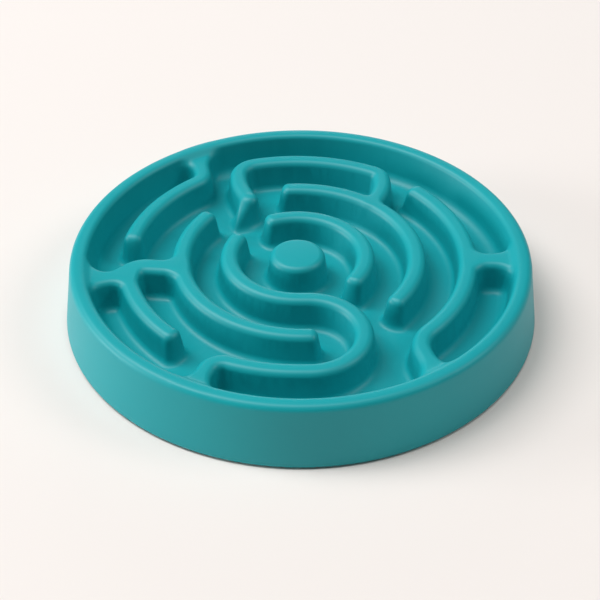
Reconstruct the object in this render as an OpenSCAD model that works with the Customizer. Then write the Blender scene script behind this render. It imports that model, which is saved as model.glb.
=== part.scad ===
// Slow feeder bowl: a round moulded dish whose floor carries a maze of ridges, so that a pet has to
// work the food out of the channels. The dish is one thin-walled moulding, open underneath: skirt,
// rim, inner wall, floor, ridges and post all have walls of one thickness, and every ridge is hollow
// from below. Six rubber feet plug into bosses that stand in the hollow under the rim.
// The origin is on the table, under the middle of the dish. The maze has its own middle, off to -X.

/* [Dish] */
// Diameter of the skirt where it ends above the table
base_d = 250; // [240:1:270]
// Diameter of the rim over its outer shoulder
rim_d = 241; // [236:0.5:244]
// Height of the rim above the table
dish_h = 35.5; // [34:0.5:40]
// Width of the flat rim with its two shoulders
rim_w = 8; // [7:0.25:9]
// Thickness of every moulded wall
wall = 2.4; // [2:0.1:2.8]
// Height of the floor of the channels above the table
floor_z = 18; // [16:0.5:20]
// Gap between the table and the lower edge of the skirt
stand_off = 1; // [0.6:0.1:1.6]
// Draft of the inner wall, in degrees
wall_draft = 12; // [8:0.5:14]
// Radius of the rim's outer shoulder
rim_outer_r = 3.2; // [2:0.1:3.8]
// Radius of the rim's inner shoulder
rim_inner_r = 2; // [1.2:0.1:2.6]
// Radius between the inner wall and the floor
wall_foot_r = 5; // [3:0.25:6]

/* [Ridges] */
// Width of a ridge over its top, with its shoulders
ridge_w = 8; // [7:0.25:9]
// Width of the two links that join the outer ring to the rim, over their tops
link_w = 9.4; // [8:0.2:10]
// Height of a ridge above the floor
ridge_h = 14.5; // [12.5:0.5:16]
// Draft of a ridge's sides, in degrees
ridge_draft = 7; // [5:0.5:9]
// Radius of a ridge's shoulders
shoulder_r = 2.4; // [1.4:0.2:3]
// Radius between a ridge and the floor
foot_r = 3; // [2:0.1:3.4]

/* [Maze] */
// Distance to the left from the middle of the dish to the middle of the maze
maze_left = 1.7; // [0:0.1:3]
// Distance to the back from the middle of the dish to the middle of the maze
maze_back = 2.5; // [0:0.1:3]
// Radius of the post in the middle, over its top
post_r = 13.8; // [12:0.2:15]
// Radius of the innermost ring of ridges, at their centre line
ring_1 = 35.6; // [34.6:0.2:36.6]
// Distance between one ring and the next
ring_pitch = 26.9; // [26.1:0.2:27.7]

/* [Feet] */
// Gap between the skirt and a foot's boss or pad, whichever comes nearer
feet_gap = 0.5; // [0.3:0.1:1.5]
// Diameter of a foot's pad
pad_d = 13; // [11:0.5:14]
// Height of a foot's pad
pad_h = 3; // [2.5:0.25:4]
// Diameter of a foot's stem
stem_d = 5; // [4:0.25:5.5]
// Length of a foot's stem
stem_l = 9; // [6:0.5:11]
// Diameter of the boss that takes a stem
boss_d = 10; // [9.5:0.25:10.5]

/* [Hidden] */
$fn = 96;
NODES = ["bowl", "foot_1", "foot_2", "foot_3", "foot_4", "foot_5", "foot_6"];

feet_n = len(NODES) - 1;

// Overrun of every cut past the face that it opens
over = 1;
// How far a ridge reaches down into the floor that carries it
sink = wall / 2;
// How far the curve of a ridge's foot dips under the floor, so that it meets the floor at an angle
foot_dip = 0.06;
// Radius of the skirt's lower edge
hem_r = 0.8;
// Radial play of a foot's stem in its boss
stem_play = 0.05;
// Number of flats that make a quarter turn of a small round edge
edge_steps = 3;
// Steps of a ridge overlap by the lap, and every second one is slimmer and lower by the slip. A
// ridge that meets another one is slimmer by some slips too, and has as many skews more draft. So no
// two faces of neighbours lie in each other
lap = 0.1;
slip = 0.02;
skew = 0.1;

base_r = base_d / 2;
rim_r = rim_d / 2;
rim_in_r = rim_r - rim_w;
half_w = ridge_w / 2;
ring_2 = ring_1 + ring_pitch;
ring_3 = ring_2 + ring_pitch;
// Radius round the middle of the dish at which ridges end that run into the rim
rim_end_r = rim_r - rim_w / 2;

// Slope of the skirt and the radius of its outer face at a height
skirt_slope = (base_r - rim_r) / (dish_h - stand_off);
function skirt_r(z) = base_r - (z - stand_off) * skirt_slope;
// Top of the bosses that take the feet, and radius of the circle that the feet stand on
boss_top = floor_z + wall * 0.8;
feet_circle_r = min(skirt_r(boss_top) - boss_d / 2, skirt_r(pad_h) - pad_d / 2) - wall - feet_gap;
// Radius of the inner wall's face at a height, without the radius at its foot
function wall_r(z) = rim_in_r - (dish_h - z) * tan(wall_draft);

// Points of an arc round a centre, from one angle to another
function arc_points(c, r, a0, a1, n) = [
    for (i = [0:n]) let(a = a0 + (a1 - a0) * i / n) [c.x + r * cos(a), c.y + r * sin(a)]
];

// Outline of the filled dish, from its axis at the hem outwards and back over the rim to the floor
skirt_tilt = atan(skirt_slope);
outer_c = [
    skirt_r(dish_h - rim_outer_r) - rim_outer_r / cos(skirt_tilt),
    dish_h - rim_outer_r
];
inner_c = [
    wall_r(dish_h - rim_inner_r) + rim_inner_r / cos(wall_draft),
    dish_h - rim_inner_r
];
foot_c = [
    wall_r(floor_z + wall_foot_r) - wall_foot_r / cos(wall_draft),
    floor_z + wall_foot_r
];
hem_c = [skirt_r(stand_off + hem_r) - hem_r / cos(skirt_tilt), stand_off + hem_r];
dish_points = concat(
    [[0, stand_off]],
    arc_points(hem_c, hem_r, -90, skirt_tilt, edge_steps),
    arc_points(outer_c, rim_outer_r, skirt_tilt, 90, edge_steps),
    arc_points(inner_c, rim_inner_r, 90, 180 - wall_draft, edge_steps),
    arc_points(foot_c, wall_foot_r, -wall_draft, -90, edge_steps),
    [[0, floor_z]]
);

// Outline of the hollow under the dish: one wall inside the skirt, the rim and the inner wall
under_z = floor_z - wall;
roof_z = dish_h - wall;
back_r = wall_r(under_z) + wall / cos(wall_draft);
roof_in_r = wall_r(roof_z) + wall / cos(wall_draft);
roof_out_r = skirt_r(roof_z) - wall;
// Corners of the hollow that are cut off under the rim's outer shoulder and the inner wall's foot
roof_cut = rim_outer_r / 3;
foot_cut = wall_foot_r / 3;
hollow_points = [
    [0, stand_off - over],
    [skirt_r(stand_off - over) - wall, stand_off - over],
    [skirt_r(roof_z - roof_cut) - wall, roof_z - roof_cut],
    [roof_out_r - roof_cut, roof_z],
    [roof_in_r, roof_z],
    [wall_r(under_z + foot_cut) + wall / cos(wall_draft), under_z + foot_cut],
    [back_r - foot_cut, under_z],
    [0, under_z]
];

// Run of a ridge's drafted side over its height
side_run = ridge_h * tan(ridge_draft);
// Right half of a ridge's section, from its top down; w is its half width over the top and draft
// the draft of its side
function section_points(w, draft) =
    let(
        shoulder = [w - shoulder_r * (1 / cos(draft) - tan(draft)), ridge_h - shoulder_r],
        foot_z = foot_r - foot_dip,
        foot = [w + (ridge_h - foot_z) * tan(draft) + foot_r / cos(draft), foot_z]
    )
    concat(
        arc_points(shoulder, shoulder_r, 90, draft, edge_steps),
        arc_points(foot, foot_r, 180 + draft, 270, edge_steps),
        [[foot.x, -sink]]
    );

// Right half of the section of the hollow in a ridge: one wall inside the ridge
function core_x(w, z, draft) = w - wall / cos(draft) + (ridge_h - z) * tan(draft);
function core_points(w, draft) = [
    [core_x(w, ridge_h - wall, draft), ridge_h - wall],
    [core_x(w, -wall, draft), -wall],
    [core_x(w, -wall, draft), -wall - over]
];

// The right half of the section that a sweep uses. The trim is [slips, skews]
function right_half(w, trim, core) =
    let(draft = ridge_draft + trim[1] * skew, inset = trim[0] * slip)
    [for (p = core ? core_points(w, draft) : section_points(w, draft)) [p.x - inset, p.y - inset]];
function mirrored(points) = [for (i = [len(points) - 1:-1:0]) [-points[i].x, points[i].y]];

module section(w, trim, core) {
    right = right_half(w, trim, core);
    polygon(concat(right, mirrored(right)));
}

module half_section(w, trim, core) {
    right = right_half(w, trim, core);
    polygon(concat([[0, right[0].y]], right, [[0, right[len(right) - 1].y]]));
}

// A ridge is a chain of steps from a start [x, y, heading]. A step is [length, 0] for a straight
// run and [radius, turn] for a bend, where a positive turn goes to the left.
function after(p, s) =
    s[1] == 0
        ? [p.x + s[0] * cos(p[2]), p.y + s[0] * sin(p[2]), p[2]]
        : let(r = s[0] * sign(s[1]), h = p[2] + s[1])
            [p.x + r * (sin(h) - sin(p[2])), p.y - r * (cos(h) - cos(p[2])), h];
function place(start, steps, i) = i == 0 ? start : after(place(start, steps, i - 1), steps[i - 1]);
function on_ring(r, a, heading) = [r * cos(a), r * sin(a), a + heading];
// Starts and steps are listed as shares of the pitch of the rings
function scaled_start(s) = [s.x * ring_pitch, s.y * ring_pitch, s[2]];
function scaled(shares) = [for (s = shares) [s[0] * ring_pitch, s[1]]];
// The steps of a ridge with one more, which runs straight on into the rim
function reach(p) =
    let(
        x = p.x - maze_left,
        y = p.y + maze_back,
        along = x * cos(p[2]) + y * sin(p[2]),
        aside = x * sin(p[2]) - y * cos(p[2])
    )
    sqrt(rim_end_r * rim_end_r - aside * aside) - along;
function into_rim(start, steps) = concat(steps, [[reach(place(start, steps, len(steps))), 0]]);

module at(p) {
    translate([p.x, p.y, 0]) rotate(p[2]) children();
}

module run(length, w, trim, ends, core) {
    rotate([90, 0, 90])
        translate([0, 0, -ends])
            linear_extrude(length + 2 * ends) section(w, trim, core);
}

module bend(r, turn, w, trim, ends, core) {
    extra = ends / r * 180 / PI;
    mirror([0, turn < 0 ? 1 : 0, 0])
        translate([0, r, 0])
            rotate(-90 - extra)
                rotate_extrude(angle = abs(turn) + 2 * extra)
                    intersection() {
                        translate([r, 0]) section(w, trim, core);
                        translate([0, -ridge_h]) square([r + 2 * ridge_h, 3 * ridge_h]);
                    }
}

// The round end of a ridge
module ridge_end(w, trim, core) {
    rotate_extrude() half_section(w, trim, core);
}

// One ridge: its start, its steps, its half width, [true for a round start, true for a round end]
// and the number of slips and skews that it is trimmed by
module ridge(r, core) {
    start = r[0];
    steps = r[1];
    w = r[2];
    for (i = [0:len(steps) - 1])
        at(place(start, steps, i)) {
            trim = [r[4] + i % 2, r[4]];
            if (steps[i][1] == 0) run(steps[i][0], w, trim, i % 2 * lap, core);
            else bend(steps[i][0], steps[i][1], w, trim, i % 2 * lap, core);
        }
    if (r[3][0]) at(start) ridge_end(w, [r[4] + 2, r[4]], core);
    if (r[3][1]) at(place(start, steps, len(steps))) ridge_end(w, [r[4] + 2, r[4]], core);
}

outer_right = on_ring(ring_3, 41.6, -90);
outer_right_steps = concat([[ring_3, -84.5]], scaled([[0.632, 60]]));
right_link = on_ring(ring_3, -2.6, 2.6);
long_s = on_ring(ring_1, 154, 90);
long_s_steps = concat(
    [[ring_1, 116]],
    scaled([[0.223, 0], [1, -180], [0.223, 0]]),
    [[ring_3, -22]],
    scaled([[0.058, 0], [0.223, 89]])
);
middle_left = scaled_start([-1.844, 1.335, 235.3]);
upper_left = on_ring(ring_3, 169.3, -90);
upper_left_steps = concat([[ring_3, -39.3]], scaled([[0.335, 52]]));
left_link = scaled_start([-2.227, -0.348, 175]);
left_link_steps = scaled([[0.68, 0], [0.4, 50], [0.16, 0], [0.576, -58]]);
top_loop = scaled_start([1.465, 1.747, 50]);
top_loop_shares = [
    [1.301, 44], [0.1, 0], [0.204, 57], [3.439, 44], [0.446, 75], [1.487, 22], [0.2, 0]
];
// The top loop's hollow starts this many degrees into its first bend, clear of the ring beside it
solid_turn = 12;
top_loop_hollow = [
    after(top_loop, scaled([[top_loop_shares[0].x, solid_turn]])[0]),
    scaled(concat(
        [[top_loop_shares[0].x, top_loop_shares[0].y - solid_turn]],
        [for (i = [1:len(top_loop_shares) - 1]) top_loop_shares[i]]
    )),
    half_w,
    [false, false],
    3
];
// Turn, length and tip of the sloping tail that the top loop runs out in
tail_turn = 57;
tail_share = 0.45;
tip_share = 0.03;

ridges = [
    // Inner and middle rings, right
    [on_ring(ring_1, -34.5, 90), [[ring_1, 146.5]], half_w, [true, true], 0],
    [on_ring(ring_2, -37.3, 90), [[ring_2, 131.6]], half_w, [true, true], 0],
    // Outer ring, right, with its bend into the rim, and its link to the rim
    [outer_right, into_rim(outer_right, outer_right_steps), half_w, [true, false], 0],
    [right_link, into_rim(right_link, []), link_w / 2, [false, false], 3],
    // The long S, from the inner ring round to the outer one and into the rim
    [long_s, into_rim(long_s, long_s_steps), half_w, [true, false], 0],
    // Middle ring, left
    [middle_left, scaled([[2.379, 127.5]]), half_w, [true, true], 0],
    // Outer ring, left, above and below the link, and the link
    [upper_left, into_rim(upper_left, upper_left_steps), half_w, [true, false], 0],
    [on_ring(ring_3, 190, 90), [[ring_3, 35.4]], half_w, [false, true], 6],
    [left_link, into_rim(left_link, left_link_steps), link_w / 2, [false, false], 3],
    // Top loop
    [top_loop, scaled(top_loop_shares), half_w, [false, false], 3]
];

// Short arcs that widen a ridge where it meets the rim: their start and [radius, turn], as shares
flare_shares = [
    [[2.249, -2.9, 270], [0.502, 65]],
    [[3.406, 0.27, 285], [0.465, 120]],
    [[-2.051, 2.736, 80], [0.409, 95]],
    [[-3.39, -0.69, 190], [0.576, -65]]
];
flares = [
    for (f = flare_shares)
        [scaled_start(f[0]), into_rim(scaled_start(f[0]), scaled([f[1]])), half_w, [false, false], 6]
];

// The thin sloping tail of the top loop
module tail() {
    tip = tip_share * ring_pitch;
    at(place(top_loop, scaled(top_loop_shares), len(top_loop_shares)))
        rotate(-tail_turn)
            translate([0, 0, -sink])
                hull() {
                    cylinder(r1 = half_w + side_run, r2 = half_w - 2 * slip, h = ridge_h + sink - slip, $fn = 24);
                    translate([tail_share * ring_pitch, 0, 0]) cylinder(r = tip, h = sink + tip, $fn = 24);
                }
}

module post(core) {
    rotate_extrude() half_section(post_r, [0, 0], core);
}

module in_maze() {
    translate([-maze_left, maze_back, floor_z]) children();
}

// The filled dish with the first n of everything that stands on its floor
ridges_n = len(ridges);
flares_n = len(flares);
raised_n = ridges_n + flares_n + 2;
module standing(i) {
    if (i < ridges_n) ridge(ridges[i], false);
    else if (i < ridges_n + flares_n) ridge(flares[i - ridges_n], false);
    else if (i == ridges_n + flares_n) post(false);
    else tail();
}
module raised(n) {
    if (n == 0) rotate_extrude($fn = 180) polygon(dish_points);
    else union() {
        raised(n - 1);
        in_maze() standing(n - 1);
    }
}

// The same, open underneath, with the first n ridges hollow
module hollowed(n) {
    difference() {
        if (n == 0) raised(raised_n);
        else hollowed(n - 1);
        if (n == 0) rotate_extrude($fn = 180) polygon(hollow_points);
        else in_maze() {
            if (n < ridges_n) ridge(ridges[n - 1], true);
            else if (n == ridges_n) ridge(top_loop_hollow, true);
            else post(true);
        }
    }
}

// Bosses for the feet: each has a web to the skirt and one to the floor's underside
web_t = wall * 0.8;
bore_d = stem_d + 2 * stem_play;
web_low_z = pad_h + boss_d * 0.4;
skirt_web_points = [
    [feet_circle_r, web_low_z],
    [skirt_r(web_low_z) - wall / 2, web_low_z],
    [skirt_r(boss_top - sink) - wall / 2, boss_top - sink],
    [feet_circle_r, boss_top - sink]
];
floor_web_points = [
    [feet_circle_r - boss_d * 0.3, web_low_z],
    [feet_circle_r - boss_d * 0.3, under_z + sink],
    [feet_circle_r - boss_d * 1.5, under_z + sink],
    [feet_circle_r - boss_d * 1.5, under_z - wall]
];

module boss() {
    translate([feet_circle_r, 0, pad_h]) cylinder(d = boss_d, h = boss_top - pad_h);
    rotate([90, 0, 0])
        translate([0, 0, -web_t / 2]) {
            linear_extrude(web_t) polygon(skirt_web_points);
            linear_extrude(web_t) polygon(floor_web_points);
        }
}

function foot_angle(i) = 30 + 360 * i / feet_n;

module bowl() {
    color("#2A9FA8")
        difference() {
            union() {
                hollowed(ridges_n + 1);
                for (i = [0:feet_n - 1]) rotate(foot_angle(i)) boss();
            }
            for (i = [0:feet_n - 1])
                rotate(foot_angle(i))
                    translate([feet_circle_r, 0, pad_h - over])
                        cylinder(d = bore_d, h = stem_l + 2 * over);
        }
}

// Outline of a foot: a flat pad with soft edges, and a stem with a cone at its tip
pad_edge = pad_h * 0.2;
tip_h = stem_l * 0.15;
foot_points = concat(
    [[0, 0]],
    arc_points([pad_d / 2 - pad_edge, pad_edge], pad_edge, -90, 0, edge_steps),
    arc_points([pad_d / 2 - pad_edge, pad_h - pad_edge], pad_edge, 0, 90, edge_steps),
    [
        [stem_d / 2, pad_h],
        [stem_d / 2, pad_h + stem_l - tip_h],
        [stem_d / 2 - tip_h * 0.6, pad_h + stem_l],
        [0, pad_h + stem_l]
    ]
);

module foot(i) {
    color("#2B2D30")
        rotate(foot_angle(i))
            translate([feet_circle_r, 0, 0])
                rotate_extrude() polygon(foot_points);
}

module foot_1() foot(0);
module foot_2() foot(1);
module foot_3() foot(2);
module foot_4() foot(3);
module foot_5() foot(4);
module foot_6() foot(5);

bowl();
foot_1();
foot_2();
foot_3();
foot_4();
foot_5();
foot_6();
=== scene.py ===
"""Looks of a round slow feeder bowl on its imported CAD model.

The bowl is one thin-walled moulding: a skirt, a soft rim and a floor that carries a maze of ridges
round a post. Its shape follows a rule, so Geometry Nodes make it: every wall is a distance from a
line of the maze or from the dish's own profile, walls run into each other in soft radii, and the
moulding is the skin of one thickness under that surface. Six rubber feet plug in underneath.

Lengths are in millimetres in the classes and formulas, and in metres in Blender.
"""

from __future__ import annotations

import ast
import logging
import math
from dataclasses import dataclass, field
from enum import Enum
from typing import Any

import bmesh
import bpy
from mathutils import Matrix, Vector

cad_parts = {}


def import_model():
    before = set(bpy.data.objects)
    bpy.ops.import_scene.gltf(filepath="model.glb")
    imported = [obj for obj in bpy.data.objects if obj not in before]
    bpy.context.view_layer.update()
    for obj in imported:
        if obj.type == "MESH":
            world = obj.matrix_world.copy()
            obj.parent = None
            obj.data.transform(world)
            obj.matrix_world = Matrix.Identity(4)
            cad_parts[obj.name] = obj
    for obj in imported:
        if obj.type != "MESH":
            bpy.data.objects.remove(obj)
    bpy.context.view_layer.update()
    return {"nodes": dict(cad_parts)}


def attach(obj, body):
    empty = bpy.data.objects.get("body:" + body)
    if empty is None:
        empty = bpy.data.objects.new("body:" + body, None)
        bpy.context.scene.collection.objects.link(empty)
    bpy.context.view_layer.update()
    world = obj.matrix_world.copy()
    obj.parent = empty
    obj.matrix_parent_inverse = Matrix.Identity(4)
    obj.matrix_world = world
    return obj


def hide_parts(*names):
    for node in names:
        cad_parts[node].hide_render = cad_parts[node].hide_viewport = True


LOG = logging.getLogger("slow_feeder")
MM = 0.001

Point = tuple[float, float]
Triple = tuple[float, float, float]
Socket = bpy.types.NodeSocket


def linear(hex_colour: str) -> tuple[float, float, float, float]:
    """Turn an sRGB hex colour into the linear colour that a shader takes.

    Args:
        hex_colour: The colour as "#RRGGBB".

    Returns:
        Linear red, green, blue, and an alpha of 1.
    """
    values = [int(hex_colour[i : i + 2], 16) / 255 for i in (1, 3, 5)]
    parts = [v / 12.92 if v <= 0.04045 else ((v + 0.055) / 1.055) ** 2.4 for v in values]
    return (parts[0], parts[1], parts[2], 1.0)


class Wiring:
    """Adds nodes to one tree, and wires written formulas as its Math nodes."""

    OPERATORS = {ast.Add: "ADD", ast.Sub: "SUBTRACT", ast.Mult: "MULTIPLY", ast.Div: "DIVIDE"}
    FUNCTIONS = {
        "min": "MINIMUM",
        "max": "MAXIMUM",
        "abs": "ABSOLUTE",
        "sqrt": "SQRT",
        "sin": "SINE",
        "cos": "COSINE",
        "atan2": "ARCTAN2",
        "round": "ROUND",
        "less": "LESS_THAN",
    }
    # Functions that are themselves written as formulas of their arguments
    WRITTEN = {
        "hypot": (("a", "b"), "sqrt(a * a + b * b)"),
        "mix": (("a", "b", "t"), "a + (b - a) * t"),
        # Two solids run together with a concave radius r
        "join": (("a", "b", "r"), "max(r, min(a, b)) - hypot(max(r - a, 0), max(r - b, 0))"),
        # What two solids have in common, its edge rounded over a radius r
        "within": (("a", "b", "r"), "min(-r, max(a, b)) + hypot(max(a + r, 0), max(b + r, 0))"),
    }

    def __init__(self, tree: bpy.types.NodeTree) -> None:
        """Keep the tree that this object adds nodes to."""
        self.tree = tree

    def add(
        self, kind: str, settings: dict[str, Any] | None = None, inputs: dict[Any, Any] | None = None
    ) -> bpy.types.Node:
        """Add one node with its settings, and set or link its inputs.

        Args:
            kind: The node's type name.
            settings: Properties of the node, by name.
            inputs: Values or sockets, by the input's name or number.

        Returns:
            The new node.
        """
        node = self.tree.nodes.new(kind)
        for name, value in (settings or {}).items():
            setattr(node, name, value)
        for key, value in (inputs or {}).items():
            if isinstance(value, bpy.types.NodeSocket):
                self.tree.links.new(value, node.inputs[key])
            else:
                node.inputs[key].default_value = value
        return node

    def formula(self, text: str, **names: Socket | float) -> Socket:
        """Wire a formula of numbers and sockets as Math nodes.

        Args:
            text: The formula, with + - * / and the functions that the class lists.
            **names: What each name in the formula stands for.

        Returns:
            The socket that holds the formula's result.
        """
        result = self._wire(ast.parse(text).body[0].value, names)
        if isinstance(result, bpy.types.NodeSocket):
            return result
        return self.add("ShaderNodeMath", {"operation": "ADD"}, {0: result, 1: 0.0}).outputs[0]

    def _wire(self, part: ast.AST, names: dict[str, Any]) -> Socket | float:
        """Wire one part of a formula.

        Args:
            part: The part, as Python's own parser reads it.
            names: What each name in the formula stands for.

        Returns:
            A socket, or a plain number where the part is one.
        """
        if isinstance(part, ast.Constant):
            return float(part.value)
        if isinstance(part, ast.Name):
            return names[part.id]
        if isinstance(part, ast.UnaryOp):
            return self._math("MULTIPLY", [self._wire(part.operand, names), -1.0])
        if isinstance(part, ast.BinOp):
            ends = [self._wire(part.left, names), self._wire(part.right, names)]
            return self._math(self.OPERATORS[type(part.op)], ends)
        values = [self._wire(a, names) for a in part.args]
        if part.func.id in self.WRITTEN:
            words, text = self.WRITTEN[part.func.id]
            return self._wire(ast.parse(text).body[0].value, dict(zip(words, values)))
        operation = self.FUNCTIONS[part.func.id]
        if len(values) == 1:
            return self._math(operation, values)
        result = values[0]
        for value in values[1:]:
            result = self._math(operation, [result, value])
        return result

    def _math(self, operation: str, values: list[Socket | float]) -> Socket:
        """Add one Math node, and give its result."""
        return self.add("ShaderNodeMath", {"operation": operation}, dict(enumerate(values))).outputs[0]


@dataclass(frozen=True)
class MouldedPolypropylene:
    """Polypropylene, injection moulded in a finely sparked mould.

    The resin is dyed through and slightly translucent, so its shadows stay saturated. The sparked
    mould leaves a satin, with a grain of about 0.25 mm that breaks its highlights.
    """

    colour: str = "#02A7AE"
    deep: str = "#0199A2"
    roughness: float = 0.45
    roughness_spread: float = 0.03
    ior: float = 1.49
    specular: float = 0.43
    grain_mm: float = 0.55  # a true 0.25 mm grain is under a pixel, so it is drawn twice as coarse
    grain_depth_mm: float = 0.02
    grain_strength: float = 0.12
    flow_mm: float = 70.0  # the faint clouds that the melt leaves as it fills the mould

    def make(self) -> bpy.types.Material:
        """Build the material.

        Returns:
            The teal moulded plastic.
        """
        material = bpy.data.materials.new("teal_moulded_polypropylene")
        material.use_nodes = True
        wiring = Wiring(material.node_tree)
        shader = material.node_tree.nodes["Principled BSDF"]
        place = wiring.add("ShaderNodeTexCoord").outputs["Object"]
        clouds = wiring.add(
            "ShaderNodeTexNoise",
            inputs={"Vector": place, "Scale": 1 / (self.flow_mm * MM), "Detail": 2.0, "Roughness": 0.4},
        )
        tint = wiring.add(
            "ShaderNodeMix",
            {"data_type": "RGBA"},
            {"Factor": clouds.outputs["Fac"], 6: linear(self.colour), 7: linear(self.deep)},
        )
        grain = wiring.add(
            "ShaderNodeTexNoise",
            inputs={"Vector": place, "Scale": 1 / (self.grain_mm * MM), "Detail": 3.0, "Roughness": 0.55},
        )
        bump = wiring.add(
            "ShaderNodeBump",
            inputs={
                "Strength": self.grain_strength,
                "Distance": self.grain_depth_mm * MM,
                "Height": grain.outputs["Fac"],
            },
        )
        sheen = wiring.add(
            "ShaderNodeMapRange",
            inputs={
                "Value": clouds.outputs["Fac"],
                "To Min": self.roughness - self.roughness_spread,
                "To Max": self.roughness + self.roughness_spread,
            },
        )
        links = material.node_tree.links
        links.new(tint.outputs[2], shader.inputs["Base Color"])
        links.new(bump.outputs["Normal"], shader.inputs["Normal"])
        links.new(sheen.outputs["Result"], shader.inputs["Roughness"])
        shader.inputs["IOR"].default_value = self.ior
        shader.inputs["Specular IOR Level"].default_value = self.specular
        return material


@dataclass(frozen=True)
class MouldedRubber:
    """Thermoplastic rubber, moulded: near black and matt.

    Wax and table dust gather in a bloom of about 3 mm patches, which keep it from looking like paint.
    """

    colour: str = "#26282A"
    bloom: str = "#3A3C3E"
    roughness: float = 0.82
    bloom_mm: float = 3.0
    bloom_depth_mm: float = 0.05
    bloom_strength: float = 0.25

    def make(self) -> bpy.types.Material:
        """Build the material.

        Returns:
            The black rubber of the feet.
        """
        material = bpy.data.materials.new("black_moulded_rubber")
        material.use_nodes = True
        wiring = Wiring(material.node_tree)
        shader = material.node_tree.nodes["Principled BSDF"]
        place = wiring.add("ShaderNodeTexCoord").outputs["Object"]
        dust = wiring.add(
            "ShaderNodeTexNoise",
            inputs={"Vector": place, "Scale": 1 / (self.bloom_mm * MM), "Detail": 5.0, "Roughness": 0.6},
        )
        tint = wiring.add(
            "ShaderNodeMix",
            {"data_type": "RGBA"},
            {"Factor": dust.outputs["Fac"], 6: linear(self.colour), 7: linear(self.bloom)},
        )
        bump = wiring.add(
            "ShaderNodeBump",
            inputs={
                "Strength": self.bloom_strength,
                "Distance": self.bloom_depth_mm * MM,
                "Height": dust.outputs["Fac"],
            },
        )
        links = material.node_tree.links
        links.new(tint.outputs[2], shader.inputs["Base Color"])
        links.new(bump.outputs["Normal"], shader.inputs["Normal"])
        shader.inputs["Roughness"].default_value = self.roughness
        return material


@dataclass(frozen=True)
class SeamlessPaper:
    """Seamless background paper, warm white and matt, which takes the bowl's soft shadow."""

    colour: str = "#EFE9E5"
    roughness: float = 0.9
    specular: float = 0.1

    def make(self) -> bpy.types.Material:
        """Build the material.

        Returns:
            The paper.
        """
        material = bpy.data.materials.new("warm_white_paper")
        material.use_nodes = True
        shader = material.node_tree.nodes["Principled BSDF"]
        shader.inputs["Base Color"].default_value = linear(self.colour)
        shader.inputs["Roughness"].default_value = self.roughness
        shader.inputs["Specular IOR Level"].default_value = self.specular
        return material


class End(Enum):
    """How a ridge ends."""

    FREE = "a blunt end of its own"
    MET = "inside another ridge"
    RIM = "in the rim"


@dataclass
class Ridge:
    """The centre line of one ridge: a chain of straight runs and bends.

    A step is (length, 0) for a straight run and (radius, turn) for a bend. Turns to the left are
    positive. Places are in millimetres from the middle of the maze. The slope is how far a blunt
    end leans out for each millimetre below the top, more than the sides do.
    """

    start: Triple
    steps: list[tuple[float, float]]
    first: End = End.FREE
    last: End = End.FREE
    slope: float = 0.14
    spacing: float = 0.6

    def points(self) -> list[Triple]:
        """Follow the steps.

        Returns:
            Points along the line, each with the heading there in degrees.
        """
        x, y, heading = self.start
        found = [(x, y, heading)]
        for size, turn in self.steps:
            if turn == 0:
                count = max(1, round(size / self.spacing))
                ahead = (math.cos(math.radians(heading)), math.sin(math.radians(heading)))
                for i in range(1, count + 1):
                    reach = size * i / count
                    found.append((x + reach * ahead[0], y + reach * ahead[1], heading))
            else:
                radius = math.copysign(size, turn)
                count = max(2, round(size * math.radians(abs(turn)) / self.spacing))
                from_angle = math.radians(heading)
                for i in range(1, count + 1):
                    to_angle = math.radians(heading + turn * i / count)
                    px = x + radius * (math.sin(to_angle) - math.sin(from_angle))
                    py = y - radius * (math.cos(to_angle) - math.cos(from_angle))
                    found.append((px, py, math.degrees(to_angle)))
            x, y, heading = found[-1]
        return found


def on_ring(radius: float, angle: float, heading: float) -> Triple:
    """Give a start on a ring.

    Args:
        radius: The ring's radius.
        angle: Where on the ring, in degrees from +X.
        heading: The heading there, in degrees from the radius outwards.

    Returns:
        x, y and the heading from +X.
    """
    turn = math.radians(angle)
    return (radius * math.cos(turn), radius * math.sin(turn), angle + heading)


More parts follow.
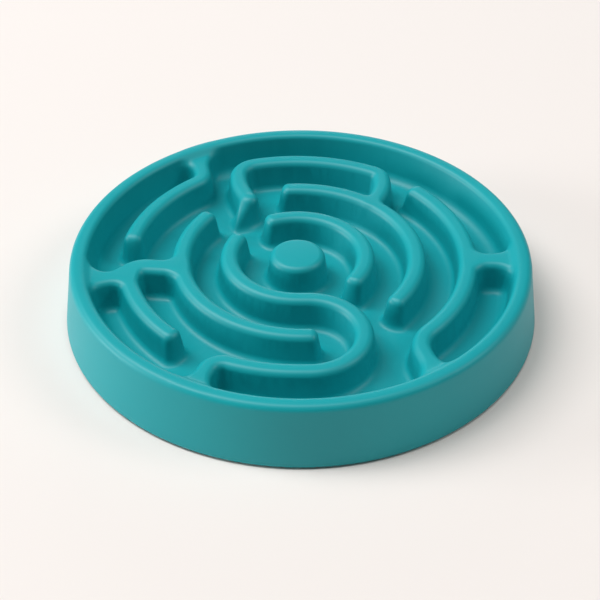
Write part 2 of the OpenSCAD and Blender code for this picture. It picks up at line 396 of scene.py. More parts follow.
@dataclass
class Maze:
    """All ridges of the maze, in groups that run into each other in soft corners."""

    middle: Point = (-1.7, 2.5)  # of the rings, which lie a little off the dish's own
    ring_1: float = 35.8
    ring_pitch: float = 26.9
    end_over: float = 2.0  # how far a line goes on past a blunt end, which is then cut square

    def __post_init__(self) -> None:
        """Work out the outer rings and the ridges."""
        r1, r2, r3 = self.ring_1, self.ring_1 + self.ring_pitch, self.ring_1 + 2 * self.ring_pitch
        self.rings: list[Ridge] = [
            Ridge(on_ring(r1, -33.3, 90), [(r1, 145.3)]),
            Ridge(on_ring(r2, -35.9, 90), [(r2, 130.2)]),
            Ridge(on_ring(r3, 42.2, -90), [(r3, -85.1), (17, 60), (16, 0)], last=End.RIM, slope=0.32),
            Ridge(
                on_ring(r1, 154, 90),
                [
                    *((r1, 116), (5.6, 0), (self.ring_pitch + 0.8, -180), (5.6, 0)),
                    *((r3 + 1.6, -21.2), (8.5, 90), (22, 0)),
                ],
                last=End.RIM,
            ),
            Ridge((-49.6, 35.9, 235.3), [(64, 127.5)]),
            Ridge(on_ring(r3, 168.3, -90), [(r3, -38.8), (9, 60), (22, 0)], last=End.RIM, slope=0.5),
            Ridge(on_ring(r3, 192, 90), [(r3, 33.4)], first=End.MET),
        ]
        self.links: list[Ridge] = [
            Ridge((r3 + 6, -3.8, 0), [(20, 0)], End.MET, End.RIM),
            Ridge(
                (-65.5, -9.9, 175),
                [(13, 0), (10.5, 50), (4.5, 0), (15.5, -58), (12, 0)],
                End.MET,
                End.RIM,
            ),
        ]
        self.loops: list[Ridge] = [
            Ridge(
                (41.2, 49.4, 54.9),
                [(35, 39.1), (1.3, 0), (8, 57.8), (92.5, 43.2), (12, 75), (40, 22), (9, 0)],
                End.MET,
                End.MET,
            ),
        ]

    def guide(self, name: str, ridges: list[Ridge]) -> bpy.types.Object:
        """Lay the centre lines of some ridges in the plane z = 0, for the nodes to measure from.

        Args:
            name: A name for the lines.
            ridges: The ridges.

        Returns:
            An object of edges only.
        """
        vertices: list[Triple] = []
        edges: list[tuple[int, int]] = []
        for ridge in ridges:
            line = [self._placed(x, y) for x, y, _ in self._lengthened(ridge)]
            edges += [(len(vertices) + i, len(vertices) + i + 1) for i in range(len(line) - 1)]
            vertices += line
        return self._object(name, vertices, edges)

    def ends(self, name: str) -> bpy.types.Object:
        """Mark the blunt ends, with the direction in which each ridge stops.

        Args:
            name: A name for the marks.

        Returns:
            An object of loose vertices with an attribute "ahead": the direction, and as its third
            part the end's slope.
        """
        marks: list[Triple] = []
        aheads: list[float] = []
        for ridge in self.rings:
            line = ridge.points()
            for end, place, turn in ((ridge.first, line[0], 180.0), (ridge.last, line[-1], 0.0)):
                if end is End.FREE:
                    heading = math.radians(place[2] + turn)
                    marks.append(self._placed(place[0], place[1]))
                    aheads += [math.cos(heading), math.sin(heading), ridge.slope]
        holder = self._object(name, marks, [])
        attribute = holder.data.attributes.new("ahead", "FLOAT_VECTOR", "POINT")
        attribute.data.foreach_set("vector", aheads)
        return holder

    def _lengthened(self, ridge: Ridge) -> list[Triple]:
        """Follow a ridge, with its blunt ends made a little longer.

        Args:
            ridge: The ridge.

        Returns:
            Points along its line, each with the heading there in degrees.
        """
        line = ridge.points()
        for end, index, sign in ((ridge.first, 0, -1.0), (ridge.last, -1, 1.0)):
            if end is End.FREE:
                x, y, heading = line[index]
                step = sign * self.end_over
                more = (
                    x + step * math.cos(math.radians(heading)),
                    y + step * math.sin(math.radians(heading)),
                    heading,
                )
                line.insert(0, more) if index == 0 else line.append(more)
        return line

    def _placed(self, x: float, y: float) -> Triple:
        """Turn a place in the maze into a place in the bowl, in metres."""
        return ((x + self.middle[0]) * MM, (y + self.middle[1]) * MM, 0.0)

    @staticmethod
    def _object(name: str, vertices: list[Triple], edges: list[tuple[int, int]]) -> bpy.types.Object:
        """Make an object of vertices and edges.

        Args:
            name: Its name.
            vertices: Their places, in metres.
            edges: Pairs of vertices.

        Returns:
            The new object.
        """
        mesh = bpy.data.meshes.new(name)
        mesh.from_pydata(vertices, edges, [])
        holder = bpy.data.objects.new(name, mesh)
        bpy.context.collection.objects.link(holder)
        return holder


@dataclass
class Bowl:
    """The moulded shell, made as the surface of a field of distances."""

    base_r: float = 125.0
    rim_r: float = 120.5
    height: float = 35.5
    stand_off: float = 1.0  # of the skirt's lower edge from the table
    rim_w: float = 8.0
    rim_outer: float = 3.2  # radii of the rim's two edges
    rim_inner: float = 2.4
    wall: float = 2.4
    wall_draft: float = 12.0  # of the wall inside the rim, in degrees
    wall_foot: float = 5.0
    floor_z: float = 16.2
    post_r: float = 14.2
    ridge_half: float = 4.45  # half widths at the top
    link_half: float = 5.6
    ridge_top: float = 32.7
    ridge_draft: float = 7.5
    shoulder: float = 3.3  # the radius along a ridge's top, and the one along its foot
    ridge_foot: float = 3.3
    corner_end: float = 3.5  # radii of corners in plan: a blunt end's, and where lines meet
    loop_corner: float = 2.5
    link_corner: float = 6.0
    rim_corner: float = 12.0
    tail_corner: float = 1.0
    end_reach: float = 13.0  # how far from its mark a blunt end is cut
    band_middle: float = 3.3  # the band under the rim that the ridges run into
    band_half: float = 3.0
    band_fade: float = 0.35
    band_near: float = 4.0
    feet_circle: float = 114.6
    feet_count: int = 6
    boss_r: float = 5.0
    socket_r: float = 2.55
    socket_top: float = 13.0
    web_half: float = 0.95
    web_length: float = 16.0
    voxel: float = 0.8  # the size of the field's cells
    margin: float = 1.2  # how far the field reaches past the bowl
    outside: float = -5.0  # its density beyond that
    snap: float = 0.6  # the most that a vertex moves in one step onto the true surface
    triangles_kept: int = 198_000
    row_pitch: float = 3.2
    maze: Maze = field(default_factory=Maze)

    def build(self, finish: bpy.types.Material) -> bpy.types.Object:
        """Make the shell.

        Args:
            finish: The plastic.

        Returns:
            The finished piece.
        """
        guides = {
            "Rings": self.maze.guide("guide_rings", self.maze.rings),
            "Links": self.maze.guide("guide_links", self.maze.links),
            "Loops": self.maze.guide("guide_loops", self.maze.loops),
            "Ends": self.maze.ends("guide_ends"),
        }
        sizes = {
            "Ridge half width": self.ridge_half,
            "Link half width": self.link_half,
            "Ridge top": self.ridge_top,
            "Floor height": self.floor_z,
            "Wall": self.wall,
            "Post radius": self.post_r,
        }
        tree = self._tree(list(guides), list(sizes), finish)
        seed = bpy.data.objects.new("bowl_field", bpy.data.meshes.new("bowl_field"))
        bpy.context.collection.objects.link(seed)
        modifier = seed.modifiers.new("moulding", "NODES")
        modifier.node_group = tree
        for item in tree.interface.items_tree:
            if item.in_out == "INPUT" and item.name in guides:
                modifier[item.identifier] = guides[item.name]
            elif item.in_out == "INPUT" and item.name in sizes:
                modifier[item.identifier] = sizes[item.name]
        dense = baked(seed, "bowl_dense")
        for holder in (*guides.values(), seed):
            bpy.data.objects.remove(holder)
        thinned = self._thinned(dense)
        self._unfolded(thinned.data)
        # Long thin triangles shade in streaks, so the dense surface lends its normals
        shading = thinned.modifiers.new("shading", "DATA_TRANSFER")
        shading.object = dense
        shading.use_loop_data = True
        shading.data_types_loops = {"CUSTOM_NORMAL"}
        shading.loop_mapping = "POLYINTERP_NEAREST"
        shell = baked(thinned, "bowl_shell")
        for holder in (dense, thinned):
            bpy.data.objects.remove(holder)
        return shell

    def _thinned(self, dense: bpy.types.Object) -> bpy.types.Object:
        """Thin the dense mesh to the count of triangles that is kept.

        Args:
            dense: The mesh as the nodes leave it.

        Returns:
            A new object with the thinned mesh.
        """
        thin = dense.modifiers.new("thin", "DECIMATE")
        thin.ratio = min(1.0, self.triangles_kept / triangles(dense.data))
        # Rows of points that stay on the skirt keep its triangles from growing as tall as it is
        rows = dense.vertex_groups.new(name="rows")
        rows.add([point.index for point in dense.data.vertices if self._in_row(point.co)], 1.0, "REPLACE")
        thin.vertex_group = rows.name
        thin.invert_vertex_group = True
        thin.vertex_group_factor = 1e-6  # next to the tiny errors of thinning, this keeps a row whole
        thinned = baked(dense, "bowl_thinned")
        thinned.vertex_groups.clear()
        dense.modifiers.remove(thin)
        return thinned

    def _in_row(self, point: Vector) -> bool:
        """Tell whether a point lies on one of the rows along the outside of the skirt.

        Args:
            point: The point, in metres.

        Returns:
            True on a row.
        """
        climb = point.z / MM - self.stand_off
        outside = math.hypot(point.x, point.y) / MM > self.base_r - climb * self._lean() - self.voxel
        return outside and climb % self.row_pitch < self.voxel

    def _lean(self) -> float:
        """Give how far the skirt leans in for each millimetre of its height."""
        return (self.base_r - self.rim_r) / (self.height - self.stand_off)

    @staticmethod
    def _unfolded(mesh: bpy.types.Mesh) -> None:
        """Smooth out the few slivers that thinning leaves folded over.

        Args:
            mesh: The thinned mesh, mended in place.
        """
        rounds, folded_below = 4, 0.4  # the second is the cosine of the angle between two faces
        shape = bmesh.new()
        shape.from_mesh(mesh)
        for _ in range(rounds):
            shape.normal_update()
            folded: set[bmesh.types.BMVert] = set()
            for face in shape.faces:
                beside = [other for edge in face.edges for other in edge.link_faces if other is not face]
                if max(face.normal.dot(other.normal) for other in beside) < folded_below:
                    folded.update(face.verts)
            bmesh.ops.smooth_vert(
                shape, verts=list(folded), factor=0.6, use_axis_x=True, use_axis_y=True, use_axis_z=True
            )
        shape.to_mesh(mesh)
        shape.free()
        mesh.shade_smooth()

    def _tree(self, guides: list[str], sizes: list[str], finish: bpy.types.Material) -> bpy.types.NodeTree:
        """Build the tree that makes the shell.

        Args:
            guides: Names of the inputs that take an object.
            sizes: Names of the inputs that take a length.
            finish: The plastic.

        Returns:
            The tree.
        """
        tree = bpy.data.node_groups.new("bowl_moulding", "GeometryNodeTree")
        for name in guides:
            tree.interface.new_socket(name, in_out="INPUT", socket_type="NodeSocketObject")
        for name in sizes:
            tree.interface.new_socket(name, in_out="INPUT", socket_type="NodeSocketFloat")
        tree.interface.new_socket("Geometry", in_out="OUTPUT", socket_type="NodeSocketGeometry")
        wiring = Wiring(tree)
        given = wiring.add("NodeGroupInput").outputs
        place = wiring.add("GeometryNodeInputPosition").outputs[0]
        axes = wiring.add("ShaderNodeSeparateXYZ", inputs={0: place}).outputs
        x, y, z = (wiring.formula("a * 1000", a=axis) for axis in axes)
        radius = wiring.formula("hypot(x, y)", x=x, y=y)
        surface = self._surface(wiring, given, place, x, y, z, radius)
        solid = self._underside(wiring, given, surface, x, y, z, radius)
        reach = (self.base_r + self.margin) * MM
        low, high = -self.margin * MM, (self.height + self.margin) * MM
        steps = round(2 * reach / (self.voxel * MM)), round((high - low) / (self.voxel * MM))
        volume = wiring.add(
            "GeometryNodeVolumeCube",
            inputs={
                "Density": wiring.formula("-d", d=solid),
                "Background": self.outside,
                "Min": (-reach, -reach, low),
                "Max": (reach, reach, high),
                "Resolution X": steps[0],
                "Resolution Y": steps[0],
                "Resolution Z": steps[1],
            },
        )
        skin = wiring.add("GeometryNodeVolumeToMesh", inputs={"Volume": volume.outputs[0], "Threshold": 0.0})
        # The skin of the cubes lies a little off: each vertex steps onto the field's own surface
        normal = wiring.add("GeometryNodeInputNormal").outputs[0]
        step = wiring.add(
            "ShaderNodeVectorMath",
            {"operation": "SCALE"},
            {
                0: normal,
                "Scale": wiring.formula("min(max(d, -most), most) * -mm", d=solid, most=self.snap, mm=MM),
            },
        )
        snapped = skin.outputs[0]
        for _ in range(2):
            snapped = wiring.add(
                "GeometryNodeSetPosition", inputs={"Geometry": snapped, "Offset": step.outputs[0]}
            ).outputs[0]
        smooth = wiring.add("GeometryNodeSetShadeSmooth", inputs={0: snapped})
        whole = wiring.add("GeometryNodeRealizeInstances", inputs={0: smooth.outputs[0]})
        dressed = wiring.add(
            "GeometryNodeSetMaterial", inputs={"Geometry": whole.outputs[0], "Material": finish}
        )
        wiring.add("NodeGroupOutput", inputs={0: dressed.outputs[0]})
        return tree

    def _surface(
        self, wiring: Wiring, given: Any, place: Socket, x: Socket, y: Socket, z: Socket, radius: Socket
    ) -> Socket:
        """Wire the distance from the bowl's upper and outer surface.

        Args:
            wiring: The tree.
            given: The tree's inputs.
            place: The point that is measured, in metres.
            x: Its first coordinate.
            y: Its second coordinate.
            z: Its height.
            radius: Its distance from the axis.

        Returns:
            The distance, negative inside.
        """
        slope = self._lean()
        rim_in = self.rim_r - self.rim_w
        draft = math.radians(self.wall_draft)
        dish = wiring.formula(
            "within("
            "within((r - base + (z - low) * slope) * tilt, z - high, outer),"
            "-within((r - rim_in + (high - z) * draft_run) * draft_cos, floor - z, foot),"
            "inner)",
            r=radius,
            z=z,
            base=self.base_r,
            low=self.stand_off,
            slope=slope,
            tilt=math.cos(math.atan(slope)),
            high=self.height,
            outer=self.rim_outer,
            rim_in=rim_in,
            draft_run=math.tan(draft),
            draft_cos=math.cos(draft),
            floor=given["Floor height"],
            foot=self.wall_foot,
            inner=self.rim_inner,
        )
        on_floor = wiring.add(
            "ShaderNodeVectorMath", {"operation": "MULTIPLY"}, {0: place, 1: (1.0, 1.0, 0.0)}
        ).outputs[0]
        away = {name: self._from_lines(wiring, given[name], on_floor) for name in ("Rings", "Links", "Loops")}
        rings = self._blunt(
            wiring,
            given["Ends"],
            on_floor,
            wiring.formula("d - w", d=away["Rings"], w=given["Ridge half width"]),
            wiring.formula("top - z", top=given["Ridge top"], z=z),
        )
        middle_x, middle_y = self.maze.middle
        post = wiring.formula(
            "hypot(x - a, y - b) - r", x=x, y=y, a=middle_x, b=middle_y, r=given["Post radius"]
        )
        lines = wiring.formula(
            "join(join(rings, loops - w, loop_corner), links - wide, corner)",
            rings=rings,
            loops=away["Loops"],
            w=given["Ridge half width"],
            loop_corner=self.loop_corner,
            links=away["Links"],
            wide=given["Link half width"],
            corner=self.link_corner,
        )
        # The plan of the maze: links run into rings, and all of them into the rim, in soft corners
        plan = wiring.formula(
            "min(join(lines, abs(r - band) - half + fade * max(0, lines - near), rim_corner), post)",
            lines=lines,
            band=rim_in + self.band_middle,
            half=self.band_half,
            fade=self.band_fade,
            near=self.band_near,
            r=radius,
            rim_corner=self.rim_corner,
            post=post,
        )
        lean = math.radians(self.ridge_draft)
        ridges = wiring.formula(
            "within((plan - (top - z) * run) * cosine, z - top, shoulder)",
            plan=plan,
            top=given["Ridge top"],
            z=z,
            run=math.tan(lean),
            cosine=math.cos(lean),
            shoulder=self.shoulder,
        )
        tail = self._tail(wiring, given, x, y, z)
        return wiring.formula(
            "join(dish, max(join(ridges, tail, corner), r - base + foot + (z - low) * slope), foot)",
            dish=dish,
            ridges=ridges,
            tail=tail,
            corner=self.tail_corner,
            r=radius,
            base=self.base_r,
            low=self.stand_off,
            slope=slope,
            z=z,
            foot=self.ridge_foot,
        )

    def _from_lines(self, wiring: Wiring, lines: Socket, place: Socket) -> Socket:
        """Measure the distance from a point of the plan to some centre lines.

        Args:
            wiring: The tree.
            lines: The object that holds the lines.
            place: The point, in metres.

        Returns:
            The distance, in millimetres.
        """
        shape = wiring.add("GeometryNodeObjectInfo", {"transform_space": "RELATIVE"}, {"Object": lines})
        near = wiring.add(
            "GeometryNodeProximity",
            {"target_element": "EDGES"},
            {"Geometry": shape.outputs["Geometry"], "Sample Position": place},
        )
        return wiring.formula("d * 1000", d=near.outputs["Distance"])

    def _blunt(self, wiring: Wiring, marks: Socket, place: Socket, plan: Socket, below: Socket) -> Socket:
        """Cut the ridges square at their free ends, with round corners.

        Args:
            wiring: The tree.
            marks: The marks at the ends.
            place: The point of the plan.
            plan: The distance from the ridges' sides.
            below: The depth below the ridge's top.

        Returns:
            The distance from the ridges with their ends.
        """
        shape = wiring.add("GeometryNodeObjectInfo", {"transform_space": "RELATIVE"}, {"Object": marks})
        marks_shape = shape.outputs["Geometry"]
        nearest = wiring.add(
            "GeometryNodeSampleNearest",
            {"domain": "POINT"},
            {"Geometry": marks_shape, "Sample Position": place},
        )
        ahead = wiring.add(
            "GeometryNodeInputNamedAttribute", {"data_type": "FLOAT_VECTOR"}, {"Name": "ahead"}
        )
        spot = wiring.add("GeometryNodeInputPosition")
        sampled = [
            wiring.add(
                "GeometryNodeSampleIndex",
                {"data_type": "FLOAT_VECTOR", "domain": "POINT"},
                {"Geometry": marks_shape, "Value": value, "Index": nearest.outputs[0]},
            ).outputs[0]
            for value in (spot.outputs[0], ahead.outputs["Attribute"])
        ]
        offset = wiring.add(
            "ShaderNodeVectorMath", {"operation": "SUBTRACT"}, {0: place, 1: sampled[0]}
        ).outputs[0]
        past = wiring.add("ShaderNodeVectorMath", {"operation": "DOT_PRODUCT"}, {0: offset, 1: sampled[1]})
        far = wiring.add("ShaderNodeVectorMath", {"operation": "LENGTH"}, {0: offset})
        slope = wiring.add("ShaderNodeSeparateXYZ", inputs={0: sampled[1]}).outputs[2]
        return wiring.formula(
            "mix(plan, within(plan, past * 1000 - corner - below * slope, corner), less(far * 1000, reach))",
            plan=plan,
            below=below,
            slope=slope,
            past=past.outputs["Value"],
            corner=self.corner_end,
            far=far.outputs["Value"],
            reach=self.end_reach,
        )

    def _tail(self, wiring: Wiring, given: Any, x: Socket, y: Socket, z: Socket) -> Socket:
        """Wire the tail of the top loop, which turns, narrows and slopes down to the floor.

        Args:
            wiring: The tree.
            given: The tree's inputs.
            x: The point's first coordinate.
            y: Its second coordinate.
            z: Its height.

        Returns:
            The distance from the tail.
        """
        kink_x, kink_y, _ = self.maze.loops[0].points()[-1]
        heading, length, tip_half = math.radians(238.0), 14.5, 0.2
        local = {
            "x": x,
            "y": y,
            "a": kink_x + self.maze.middle[0],
            "b": kink_y + self.maze.middle[1],
            "c": math.cos(heading),
            "s": math.sin(heading),
        }
        along = wiring.formula("(x - a) * c + (y - b) * s", **local)
        across = wiring.formula("abs((y - b) * c - (x - a) * s)", **local)
        share = wiring.formula("min(max(u / length, 0), 1)", u=along, length=length)
        # The crest leaves the ridge's top level, and steepens towards the floor
        top = wiring.formula(
            "mix(top, floor, t * t * (1.4 - 0.4 * t))",
            top=given["Ridge top"],
            floor=given["Floor height"],
            t=share,
        )
        # Its sides lean out more and more as it narrows, and its edges grow sharper
        sides = wiring.formula(
            "within(hypot(max(-u, 0), v) - mix(w, tip, t) - (top - z) * mix(upright, leaning, t),"
            "(u - length) * shrink, edge)",
            u=along,
            v=across,
            w=given["Ridge half width"],
            tip=tip_half,
            t=share,
            top=top,
            z=z,
            upright=0.12,
            leaning=0.5,
            length=length,
            shrink=0.9,
            edge=0.5,
        )
        return wiring.formula(
            "within(sides, (z - top) * shrink, mix(round_edge, sharp_edge, t))",
            sides=sides,
            z=z,
            top=top,
            shrink=0.85,
            round_edge=3.0,
            sharp_edge=0.9,
            t=share,
        )

    def _underside(
        self, wiring: Wiring, given: Any, surface: Socket, x: Socket, y: Socket, z: Socket, radius: Socket
    ) -> Socket:
        """Turn the outer surface into a shell of one wall, with bosses and webs for the feet.

        Args:
            wiring: The tree.
            given: The tree's inputs.
            surface: The distance from the outer surface.
            x: The point's first coordinate.
            y: Its second coordinate.
            z: Its height.
            radius: Its distance from the axis.

        Returns:
            The distance from the finished solid.
        """
        # The bosses repeat, so a point is measured in the sector of the boss nearest to it
        sector = math.tau / self.feet_count
        turn = wiring.formula(
            "atan2(y, x) - (round((atan2(y, x) - half) / sector) * sector + half)",
            x=x,
            y=y,
            sector=sector,
            half=sector / 2,
        )
        out = wiring.formula("r * cos(t) - circle", r=radius, t=turn, circle=self.feet_circle)
        side = wiring.formula("abs(r * sin(t))", r=radius, t=turn)
        boss = wiring.formula(
            "within(hypot(out, side) - r, max(low - z, z - high), edge)",
            out=out,
            side=side,
            r=self.boss_r,
            low=3.0,
            z=z,
            high=20.0,
            edge=0.5,
        )
        # A web runs inwards from each boss, and its lower edge climbs to the floor
        webs = wiring.formula(
            "within(side - half, max(max(-out - length, low - z + max(-out - level, 0) * climb),"
            "max(z - high, surface + depth)), edge)",
            side=side,
            half=self.web_half,
            out=out,
            length=self.web_length,
            low=7.0,
            z=z,
            level=2.0,
            climb=0.62,
            high=19.0,
            surface=surface,
            depth=self.wall / 2,
            edge=0.4,
        )
        shell = wiring.formula(
            "max(join(within(max(surface, -surface - wall), low - z, edge), min(boss, webs), corner),"
            "surface)",
            surface=surface,
            wall=given["Wall"],
            low=self.stand_off,
            z=z,
            edge=0.8,
            boss=boss,
            webs=webs,
            corner=1.2,
        )
        return wiring.formula(
            "within(shell, -max(hypot(out, side) - r, z - top), edge)",
            shell=shell,
            out=out,
            side=side,
            r=self.socket_r,
            z=z,
            top=self.socket_top,
            edge=0.3,
        )


@dataclass
class Feet:
    """Six rubber feet: a pad with grip rings underneath, and a stem with a catch that plugs in."""

    count: int = 6
    circle_r: float = 114.632
    first_angle: float = 30.0
    pad_r: float = 6.5
    pad_h: float = 3.0
    edge: float = 0.6
    grooves: tuple[float, ...] = (1.8, 3.4, 5.0)
    groove_w: float = 0.9
    groove_h: float = 0.35
    stem_r: float = 2.5
    stem_top: float = 12.0
    catch_z: float = 8.4
    sides: int = 72

    def build(self, finish: bpy.types.Material) -> bpy.types.Object:
        """Make all six feet as one piece.

        Args:
            finish: The rubber.

        Returns:
            The finished piece.
        """
        pattern = bpy.data.objects.new("foot_pattern", self._turned())
        tree = bpy.data.node_groups.new("feet_ring", "GeometryNodeTree")
        kinds = {"Foot": "Object", "Count": "Int", "Circle radius": "Float", "First angle": "Float"}
        for name, kind in kinds.items():
            tree.interface.new_socket(name, in_out="INPUT", socket_type=f"NodeSocket{kind}")
        tree.interface.new_socket("Geometry", in_out="OUTPUT", socket_type="NodeSocketGeometry")
        wiring = Wiring(tree)
        given = wiring.add("NodeGroupInput").outputs
        ring = wiring.add(
            "GeometryNodeMeshCircle", inputs={"Vertices": given["Count"], "Radius": given["Circle radius"]}
        )
        spin = wiring.add("ShaderNodeCombineXYZ", inputs={"Z": given["First angle"]})
        turned = wiring.add(
            "GeometryNodeTransform", inputs={"Geometry": ring.outputs[0], "Rotation": spin.outputs[0]}
        )
        foot = wiring.add("GeometryNodeObjectInfo", inputs={"Object": given["Foot"], "As Instance": True})
        set_out = wiring.add(
            "GeometryNodeInstanceOnPoints",
            inputs={"Points": turned.outputs[0], "Instance": foot.outputs["Geometry"]},
        )
        whole = wiring.add("GeometryNodeRealizeInstances", inputs={0: set_out.outputs[0]})
        dressed = wiring.add(
            "GeometryNodeSetMaterial", inputs={"Geometry": whole.outputs[0], "Material": finish}
        )
        wiring.add("NodeGroupOutput", inputs={0: dressed.outputs[0]})
        values = {
            "Foot": pattern,
            "Count": self.count,
            "Circle radius": self.circle_r * MM,
            "First angle": math.radians(self.first_angle),
        }
        seed = bpy.data.objects.new("feet_seed", bpy.data.meshes.new("feet_seed"))
        bpy.context.collection.objects.link(seed)
        modifier = seed.modifiers.new("feet", "NODES")
        modifier.node_group = tree
        for item in tree.interface.items_tree:
            if item.in_out == "INPUT":
                modifier[item.identifier] = values[item.name]
        feet = baked(seed, "rubber_feet")
        bpy.data.objects.remove(seed)
        bpy.data.objects.remove(pattern)
        return feet

    def _outline(self) -> list[Point]:
        """Draw the foot's outline.

        Returns:
            Points from its axis underneath to its axis on top, in millimetres.
        """
        line: list[Point] = [(0.0, 0.0)]
        for middle in self.grooves:
            for i in range(9):
                turn = math.pi * i / 8
                line.append(
                    (middle - self.groove_w / 2 * math.cos(turn), self.groove_h * math.sin(turn) ** 0.8)
                )
        inner = self.pad_r - self.edge
        for height, first in ((self.edge, -90), (self.pad_h - self.edge, 0)):
            for i in range(7):
                turn = math.radians(first + 90 * i / 6)
                line.append((inner + self.edge * math.cos(turn), height + self.edge * math.sin(turn)))
        # The stem: a fillet on the pad, a catch that snaps in, and a rounded tip
        stem, catch = self.stem_r - 0.15, self.catch_z
        line += [(stem + 0.7, self.pad_h), (stem + 0.2, self.pad_h + 0.15), (stem, self.pad_h + 0.6)]
        line += [(stem, catch - 0.5), (self.stem_r, catch), (self.stem_r, catch + 0.3), (stem, catch + 1.2)]
        top = self.stem_top
        line += [(stem, top - 1.6), (stem - 0.2, top - 1.0), (stem - 0.7, top - 0.2)]
        return [*line, (stem - 1.0, top), (0.0, top)]

    def _turned(self) -> bpy.types.Mesh:
        """Turn the outline about its axis.

        Returns:
            One foot, standing on z = 0.
        """
        shape = bmesh.new()
        rows = []
        for radius, height in self._outline():
            count = self.sides if radius > 0 else 1
            turns = [math.tau * i / count for i in range(count)]
            spots = [(radius * MM * math.cos(t), radius * MM * math.sin(t), height * MM) for t in turns]
            rows.append([shape.verts.new(spot) for spot in spots])
        for low, high in zip(rows, rows[1:]):
            for i in range(self.sides):
                j = (i + 1) % self.sides
                around = [low[i % len(low)], low[j % len(low)], high[j % len(high)], high[i % len(high)]]
                shape.faces.new(list(dict.fromkeys(around)))
        bmesh.ops.recalc_face_normals(shape, faces=shape.faces)
        mesh = bpy.data.meshes.new("foot_pattern")
        shape.to_mesh(mesh)
        shape.free()
        mesh.shade_smooth()
        return mesh


def triangles(mesh: bpy.types.Mesh) -> int:
    """Count a mesh's faces as triangles."""
    return sum(len(face.vertices) - 2 for face in mesh.polygons)


def baked(source: bpy.types.Object, name: str) -> bpy.types.Object:
    """Turn an object with modifiers into a plain mesh.

    Args:
        source: The object with its modifiers.
        name: The name of the new object.

    Returns:
        A new object at the origin, with no modifiers.
    """
    shape = source.evaluated_get(bpy.context.evaluated_depsgraph_get())
    mesh = bpy.data.meshes.new_from_object(shape)
    mesh.name = name
    piece = bpy.data.objects.new(name, mesh)
    bpy.context.collection.objects.link(piece)
    return piece


@dataclass(frozen=True)
class Lamp:
    """One square soft lamp that looks at the bowl: where it hangs, and its power in watts."""

    name: str
    azimuth: float
    elevation: float
    power: float


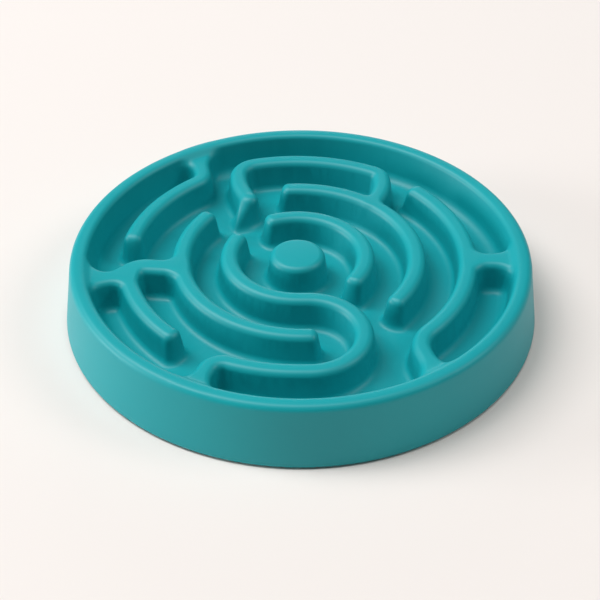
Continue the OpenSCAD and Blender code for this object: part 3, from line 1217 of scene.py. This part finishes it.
@dataclass
class Studio:
    """Paper, soft light and the photograph's camera."""

    frame_px: float = 600.0
    sensor_mm: float = 36.0
    focal_px: float = 1534.0
    distance: float = 826.2
    elevation: float = 38.882
    yaw: float = -0.028
    pitch: float = 0.172
    paper_half: float = 4.0
    lamps_away: float = 5.0
    lamp_size: float = 1.8
    room_colour: str = "#FBF7F3"
    room_strength: float = 0.11
    # A low window on the left, soft banks above it, and weak lamps on the right and behind
    lamps: tuple[Lamp, ...] = (
        Lamp("window", 180.0, 12.0, 112.0),
        Lamp("left_bank", 162.0, 48.0, 87.0),
        Lamp("upper_left_bank", 169.0, 68.0, 93.0),
        Lamp("top_bank", 0.0, 87.0, 51.0),
        Lamp("right_fill", 0.0, 41.0, 47.0),
        Lamp("back_edge", 90.0, 12.0, 21.0),
    )

    def build(self, paper: bpy.types.Material) -> None:
        """Lay the paper, hang the lights and set up the camera.

        Args:
            paper: The floor's finish.
        """
        self._floor(paper)
        self._lights()
        self._camera()

    def _floor(self, paper: bpy.types.Material) -> None:
        """Lay the paper as one large square.

        Args:
            paper: The floor's finish.
        """
        mesh = bpy.data.meshes.new("paper")
        half = self.paper_half
        corners = [(-half, -half, 0), (half, -half, 0), (half, half, 0), (-half, half, 0)]
        mesh.from_pydata(corners, [], [(0, 1, 2, 3)])
        mesh.materials.append(paper)
        floor = bpy.data.objects.new("paper", mesh)
        bpy.context.collection.objects.link(floor)

    def _lights(self) -> None:
        """Hang the lamps, and give the room its faint light."""
        for lamp in self.lamps:
            turn, rise = math.radians(lamp.azimuth), math.radians(lamp.elevation)
            place = self.lamps_away * Vector(
                (math.cos(rise) * math.cos(turn), math.cos(rise) * math.sin(turn), math.sin(rise))
            )
            light = bpy.data.lights.new(lamp.name, "AREA")
            light.size, light.energy = self.lamp_size, lamp.power
            holder = bpy.data.objects.new(lamp.name, light)
            holder.location = place
            holder.rotation_euler = (-place).to_track_quat("-Z", "Y").to_euler()
            bpy.context.collection.objects.link(holder)
        world = bpy.data.worlds.new("room")
        world.use_nodes = True
        background = world.node_tree.nodes["Background"]
        background.inputs["Color"].default_value = linear(self.room_colour)
        background.inputs["Strength"].default_value = self.room_strength
        bpy.context.scene.world = world
        bpy.context.scene.view_settings.view_transform = "Standard"

    def _camera(self) -> None:
        """Put the camera where the photograph was taken from."""
        tilt, yaw, pitch = (math.radians(a) for a in (self.elevation, self.yaw, self.pitch))
        eye = Vector((0, -math.cos(tilt), math.sin(tilt))) * self.distance * MM
        ahead = Vector((0, math.cos(tilt), -math.sin(tilt)))
        right = Vector((1, 0, 0))
        up = Vector((0, math.sin(tilt), math.cos(tilt)))
        looking = ahead * math.cos(yaw) + right * math.sin(yaw)
        right = right * math.cos(yaw) - ahead * math.sin(yaw)
        ahead = looking * math.cos(pitch) + up * math.sin(pitch)
        up = up * math.cos(pitch) - looking * math.sin(pitch)
        camera = bpy.data.cameras.new("camera")
        camera.sensor_width = self.sensor_mm
        camera.lens = self.focal_px / self.frame_px * self.sensor_mm
        holder = bpy.data.objects.new("camera", camera)
        holder.matrix_world = Matrix(
            (
                (right.x, up.x, -ahead.x, eye.x),
                (right.y, up.y, -ahead.y, eye.y),
                (right.z, up.z, -ahead.z, eye.z),
                (0, 0, 0, 1),
            )
        )
        bpy.context.collection.objects.link(holder)
        bpy.context.scene.camera = holder


def main() -> None:
    """Build the bowl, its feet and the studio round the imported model."""
    logging.basicConfig(level=logging.INFO, format="%(name)s %(message)s")
    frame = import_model()
    shell = Bowl().build(MouldedPolypropylene().make())
    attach(shell, "root")
    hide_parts("bowl")
    feet = Feet().build(MouldedRubber().make())
    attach(feet, "root")
    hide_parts(*(name for name in frame["nodes"] if name.startswith("foot_")))
    for piece in (shell, feet):
        LOG.info("%s: %d triangles", piece.name, triangles(piece.data))
    Studio().build(SeamlessPaper().make())


if __name__ == "__main__":
    main()
